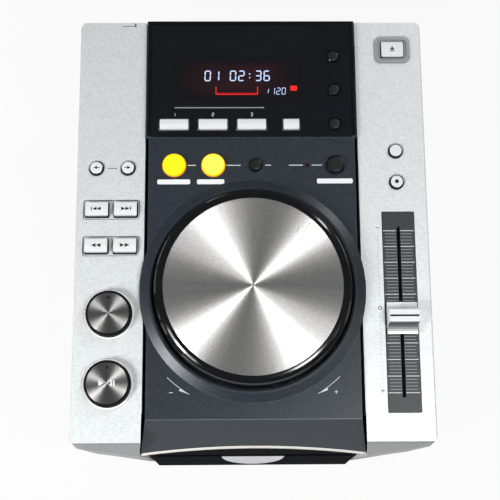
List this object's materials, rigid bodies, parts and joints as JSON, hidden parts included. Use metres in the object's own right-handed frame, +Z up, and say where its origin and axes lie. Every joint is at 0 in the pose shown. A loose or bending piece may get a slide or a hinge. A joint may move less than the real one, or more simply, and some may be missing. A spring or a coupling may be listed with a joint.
{
  "type": "tabletop dj cd player",
  "caption": "Tabletop DJ CD player with a sloping control deck, jog dial, tempo slider, display window, push buttons, rear jacks and a slot-loading disc drive.",
  "frame": {"origin": "middle of the footprint, on the table plane under the feet", "axes": "+X to the user's right, +Y from the nose to the rear, +Z up"},
  "size_m": [0.218, 0.27, 0.1055],
  "materials": {
    "silver": "fine metallic speckle, satin",
    "deck": "dark slate with a fine metallic speckle",
    "gloss_black": "polished black",
    "satin_black": "satin black",
    "window": "clear over black, polished",
    "scoop": "polished",
    "spun": "turned, with fine rings",
    "steel": "plain",
    "pan": "black, fine texture",
    "rubber": "matt",
    "jack": "plated",
    "board": "lacquered board",
    "supply": "board with coils and cans",
    "tube": "tinted",
    "inlay": "brushed, dark",
    "knob": "satin white",
    "ring": "milky light guide",
    "lamp": "dark red lens",
    "bezel_white": "satin white",
    "white": "satin white",
    "lit_yellow": "glowing yellow",
    "silver_key": "satin silver",
    "transport": "radially brushed, dark"
  },
  "bodies": {
    "housing": {"top_cover": "silver", "centre_panel": "deck", "display_window": "window", "front_bezel": "gloss_black", "finger_scoop": "scoop", "base_pan": "pan", "rubber_feet": "rubber", "case_screws": "steel", "jack_panel": "satin_black", "rca_jacks": "jack", "control_jack": "satin_black", "mains_inlet": "satin_black", "circuit_boards": "board", "power_supply": "supply", "display_tube": "tube", "tempo_plate": "inlay", "fader_body": "steel", "lamp_rings": "ring", "loop_lamp": "lamp", "eject_bezel": "bezel_white", "jog_bearing": "steel", "drive_chassis": "steel", "drive_dampers": "rubber", "drive_motors": "steel", "guide_rods": "steel"},
    "jog_wheel": {"jog_dial": "gloss_black", "jog_plate": "spun", "jog_spindle": "steel"},
    "tempo_slider": {"tempo_knob": "knob", "fader_lever": "steel"},
    "turntable_hub": {"turntable": "satin_black"},
    "clamp_lever": {"clamp_arm": "steel"},
    "clamper_puck": {"disc_clamper": "satin_black"},
    "pickup": {"pickup_sled": "satin_black"},
    "feed_screw": {"lead_screw": "steel"},
    "roller_frame": {"roller_bracket": "steel"},
    "roller": {"loading_roller": "rubber"},
    "power_key": {"power_button": "satin_black"},
    "eject_key": {"eject_button": "white"},
    "tempo_range_key": {"tempo_range_button": "white"},
    "master_tempo_key": {"master_tempo_button": "white"},
    "folder_back_key": {"folder_back_button": "white"},
    "folder_next_key": {"folder_next_button": "white"},
    "track_back_key": {"track_back_button": "silver_key"},
    "track_next_key": {"track_next_button": "silver_key"},
    "search_back_key": {"search_back_button": "silver_key"},
    "search_forward_key": {"search_forward_button": "silver_key"},
    "cue_key": {"cue_button": "transport"},
    "play_key": {"play_button": "transport"},
    "loop_in_key": {"loop_in_button": "lit_yellow"},
    "loop_out_key": {"loop_out_button": "lit_yellow"},
    "reloop_key": {"reloop_button": "gloss_black"},
    "beat_loop_key": {"beat_loop_button": "gloss_black"},
    "effect_one_key": {"effect_one_button": "white"},
    "effect_two_key": {"effect_two_button": "white"},
    "effect_three_key": {"effect_three_button": "white"},
    "hold_key": {"hold_button": "white"},
    "text_mode_key": {"text_mode_button": "gloss_black"},
    "time_mode_key": {"time_mode_button": "gloss_black"},
    "auto_cue_key": {"auto_cue_button": "gloss_black"}
  },
  "joints": [
    {"name": "jog_spin", "type": "hinge", "parent": "housing", "child": "jog_wheel", "pos_m": [0, -0.03936, 0.08422], "axis": [0, -0.1045, 0.9945], "continuous": true},
    {"name": "tempo_slide", "type": "slide", "parent": "housing", "child": "tempo_slider", "axis": [0, 0.9945, 0.1045], "range_m": [-0.0447, 0.0553]},
    {"name": "turntable_spin", "type": "hinge", "parent": "housing", "child": "turntable_hub", "pos_m": [0, -0.056, 0.025], "axis": [0, 0, 1], "continuous": true},
    {"name": "clamp_lever_swing", "type": "hinge", "parent": "housing", "child": "clamp_lever", "pos_m": [0, 0.018, 0.041], "axis": [1, 0, 0], "range_deg": [0, 7.5]},
    {"name": "clamper_spin", "type": "hinge", "parent": "clamp_lever", "child": "clamper_puck", "pos_m": [0, -0.05684, 0.03946], "axis": [0, 0.1305, 0.9914], "continuous": true},
    {"name": "pickup_feed", "type": "slide", "parent": "housing", "child": "pickup", "axis": [0, 1, 0], "range_m": [0, 0.034]},
    {"name": "feed_screw_turn", "type": "hinge", "parent": "housing", "child": "feed_screw", "pos_m": [0.027, -0.02, 0.0155], "axis": [0, 1, 0], "continuous": true},
    {"name": "roller_frame_lift", "type": "hinge", "parent": "housing", "child": "roller_frame", "pos_m": [0, -0.094, 0.026], "axis": [-1, 0, 0], "range_deg": [0, 9.5]},
    {"name": "roller_spin", "type": "hinge", "parent": "roller_frame", "child": "roller", "pos_m": [0, -0.121, 0.0258], "axis": [1, 0, 0], "continuous": true},
    {"name": "power_press", "type": "slide", "parent": "housing", "child": "power_key", "axis": [0, -1, 0], "range_m": [0, 0.0015], "stiffness_N_per_m": 500, "springref_m": -0.0005},
    {"name": "eject_press", "type": "slide", "parent": "housing", "child": "eject_key", "axis": [0, 0.1045, -0.9945], "range_m": [0, 0.0008], "stiffness_N_per_m": 500, "springref_m": -0.0005},
    {"name": "tempo_range_press", "type": "slide", "parent": "housing", "child": "tempo_range_key", "axis": [0, 0.1045, -0.9945], "range_m": [0, 0.0008], "stiffness_N_per_m": 500, "springref_m": -0.0005},
    {"name": "master_tempo_press", "type": "slide", "parent": "housing", "child": "master_tempo_key", "axis": [0, 0.1045, -0.9945], "range_m": [0, 0.0008], "stiffness_N_per_m": 500, "springref_m": -0.0005},
    {"name": "folder_back_press", "type": "slide", "parent": "housing", "child": "folder_back_key", "axis": [0, 0.1045, -0.9945], "range_m": [0, 0.0008], "stiffness_N_per_m": 500, "springref_m": -0.0005},
    {"name": "folder_next_press", "type": "slide", "parent": "housing", "child": "folder_next_key", "axis": [0, 0.1045, -0.9945], "range_m": [0, 0.0008], "stiffness_N_per_m": 500, "springref_m": -0.0005},
    {"name": "track_back_press", "type": "slide", "parent": "housing", "child": "track_back_key", "axis": [0, 0.1045, -0.9945], "range_m": [0, 0.0008], "stiffness_N_per_m": 500, "springref_m": -0.0005},
    {"name": "track_next_press", "type": "slide", "parent": "housing", "child": "track_next_key", "axis": [0, 0.1045, -0.9945], "range_m": [0, 0.0008], "stiffness_N_per_m": 500, "springref_m": -0.0005},
    {"name": "search_back_press", "type": "slide", "parent": "housing", "child": "search_back_key", "axis": [0, 0.1045, -0.9945], "range_m": [0, 0.0008], "stiffness_N_per_m": 500, "springref_m": -0.0005},
    {"name": "search_forward_press", "type": "slide", "parent": "housing", "child": "search_forward_key", "axis": [0, 0.1045, -0.9945], "range_m": [0, 0.0008], "stiffness_N_per_m": 500, "springref_m": -0.0005},
    {"name": "cue_press", "type": "slide", "parent": "housing", "child": "cue_key", "axis": [0, 0.1045, -0.9945], "range_m": [0, 0.0008], "stiffness_N_per_m": 500, "springref_m": -0.0005},
    {"name": "play_press", "type": "slide", "parent": "housing", "child": "play_key", "axis": [0, 0.1045, -0.9945], "range_m": [0, 0.0008], "stiffness_N_per_m": 500, "springref_m": -0.0005},
    {"name": "loop_in_press", "type": "slide", "parent": "housing", "child": "loop_in_key", "axis": [0, 0.1045, -0.9945], "range_m": [0, 0.0008], "stiffness_N_per_m": 500, "springref_m": -0.0005},
    {"name": "loop_out_press", "type": "slide", "parent": "housing", "child": "loop_out_key", "axis": [0, 0.1045, -0.9945], "range_m": [0, 0.0008], "stiffness_N_per_m": 500, "springref_m": -0.0005},
    {"name": "reloop_press", "type": "slide", "parent": "housing", "child": "reloop_key", "axis": [0, 0.1045, -0.9945], "range_m": [0, 0.0008], "stiffness_N_per_m": 500, "springref_m": -0.0005},
    {"name": "beat_loop_press", "type": "slide", "parent": "housing", "child": "beat_loop_key", "axis": [0, 0.1045, -0.9945], "range_m": [0, 0.0008], "stiffness_N_per_m": 500, "springref_m": -0.0005},
    {"name": "effect_one_press", "type": "slide", "parent": "housing", "child": "effect_one_key", "axis": [0, 0.1045, -0.9945], "range_m": [0, 0.0008], "stiffness_N_per_m": 500, "springref_m": -0.0005},
    {"name": "effect_two_press", "type": "slide", "parent": "housing", "child": "effect_two_key", "axis": [0, 0.1045, -0.9945], "range_m": [0, 0.0008], "stiffness_N_per_m": 500, "springref_m": -0.0005},
    {"name": "effect_three_press", "type": "slide", "parent": "housing", "child": "effect_three_key", "axis": [0, 0.1045, -0.9945], "range_m": [0, 0.0008], "stiffness_N_per_m": 500, "springref_m": -0.0005},
    {"name": "hold_press", "type": "slide", "parent": "housing", "child": "hold_key", "axis": [0, 0.1045, -0.9945], "range_m": [0, 0.0008], "stiffness_N_per_m": 500, "springref_m": -0.0005},
    {"name": "text_mode_press", "type": "slide", "parent": "housing", "child": "text_mode_key", "axis": [0, 0.1045, -0.9945], "range_m": [0, 0.0008], "stiffness_N_per_m": 500, "springref_m": -0.0005},
    {"name": "time_mode_press", "type": "slide", "parent": "housing", "child": "time_mode_key", "axis": [0, 0.1045, -0.9945], "range_m": [0, 0.0008], "stiffness_N_per_m": 500, "springref_m": -0.0005},
    {"name": "auto_cue_press", "type": "slide", "parent": "housing", "child": "auto_cue_key", "axis": [0, 0.1045, -0.9945], "range_m": [0, 0.0008], "stiffness_N_per_m": 500, "springref_m": -0.0005}
  ],
  "couplings": [
    {"joint": "feed_screw_turn", "follows": "pickup_feed", "rad_per_m": 2094.4}
  ]
}
